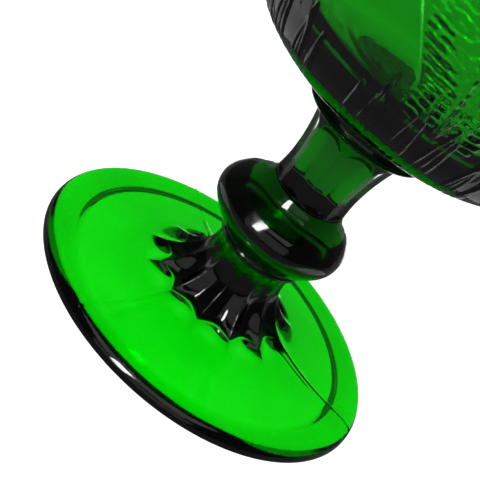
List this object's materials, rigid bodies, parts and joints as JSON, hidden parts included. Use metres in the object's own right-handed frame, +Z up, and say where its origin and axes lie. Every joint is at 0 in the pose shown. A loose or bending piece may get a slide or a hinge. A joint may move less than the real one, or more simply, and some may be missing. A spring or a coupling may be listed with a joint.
{
  "type": "footed candy dish",
  "caption": "Open footed candy dish of pressed dark green glass: round foot, fluted lower stem, round knop, panelled upper stem, thin collar and a deep bowl with a leaf pattern.",
  "frame": {"origin": "centre of the foot's flat resting ring, on the surface the dish stands on", "axes": "+Z up along the dish's axis; X and Y lie in the resting plane, and one edge of the upper stem faces -Y"},
  "size_m": [0.1268, 0.1268, 0.138],
  "materials": {
    "foot_glass": "fire-polished dark green glass, bright green where it is thin",
    "stem_glass": "fire-polished dark green glass, near black where it is thick",
    "bowl_glass": "fire-polished dark green glass with a pressed leaf relief outside"
  },
  "bodies": {
    "root": {"foot": "foot_glass", "fluted_stem": "stem_glass", "stem_knop": "stem_glass", "panelled_stem": "stem_glass", "bowl_collar": "stem_glass", "bowl": "bowl_glass"}
  },
  "joints": []
}
